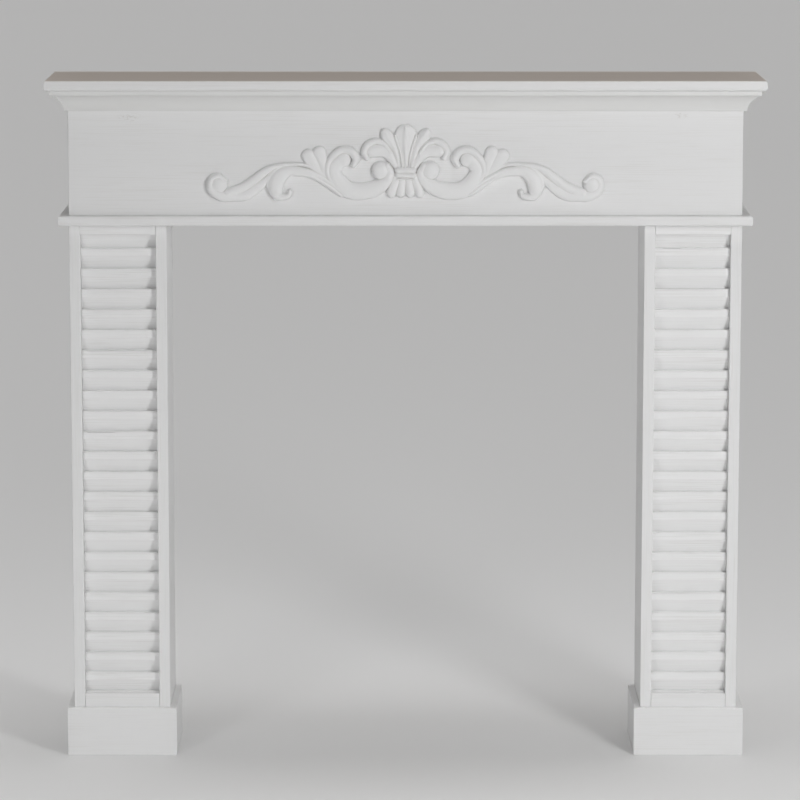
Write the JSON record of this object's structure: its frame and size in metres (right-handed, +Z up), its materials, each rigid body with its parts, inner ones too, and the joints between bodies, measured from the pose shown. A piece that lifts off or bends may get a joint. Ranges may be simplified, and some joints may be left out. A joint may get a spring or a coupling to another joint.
{
  "type": "fireplace mantelpiece",
  "caption": "White painted wooden fireplace surround: moulded shelf, frieze with applied scroll ornament, louvred legs on low plinths.",
  "frame": {"origin": "on the floor, at the middle of the overall width and depth", "axes": "+X along the shelf to the right of someone facing the front, +Y from the front towards the wall, +Z up"},
  "size_m": [1.1, 0.182, 1.057],
  "materials": {
    "painted_shelf": "white satin paint, brushed along the board",
    "painted_moulding": "white satin paint over a milled profile",
    "painted_board": "white matt paint with the grain and a few knots faintly showing",
    "painted_slats": "white matt paint, a little uneven in the corners between slats",
    "painted_ornament": "white satin paint over a smooth moulded relief"
  },
  "bodies": {
    "root": {"mantel_shelf": "painted_shelf", "crown_front": "painted_moulding", "crown_left_return": "painted_moulding", "crown_right_return": "painted_moulding", "frieze_front": "painted_board", "frieze_left_return": "painted_board", "frieze_right_return": "painted_board", "frieze_ornament": "painted_ornament", "ledge_board": "painted_board", "left_leg_outer_side": "painted_board", "left_leg_inner_side": "painted_board", "left_leg_top_rail": "painted_board", "left_leg_bottom_rail": "painted_board", "left_louvre": "painted_slats", "left_plinth_front": "painted_board", "left_plinth_outer": "painted_board", "left_plinth_inner": "painted_board", "right_leg_outer_side": "painted_board", "right_leg_inner_side": "painted_board", "right_leg_top_rail": "painted_board", "right_leg_bottom_rail": "painted_board", "right_louvre": "painted_slats", "right_plinth_front": "painted_board", "right_plinth_outer": "painted_board", "right_plinth_inner": "painted_board"}
  },
  "joints": []
}
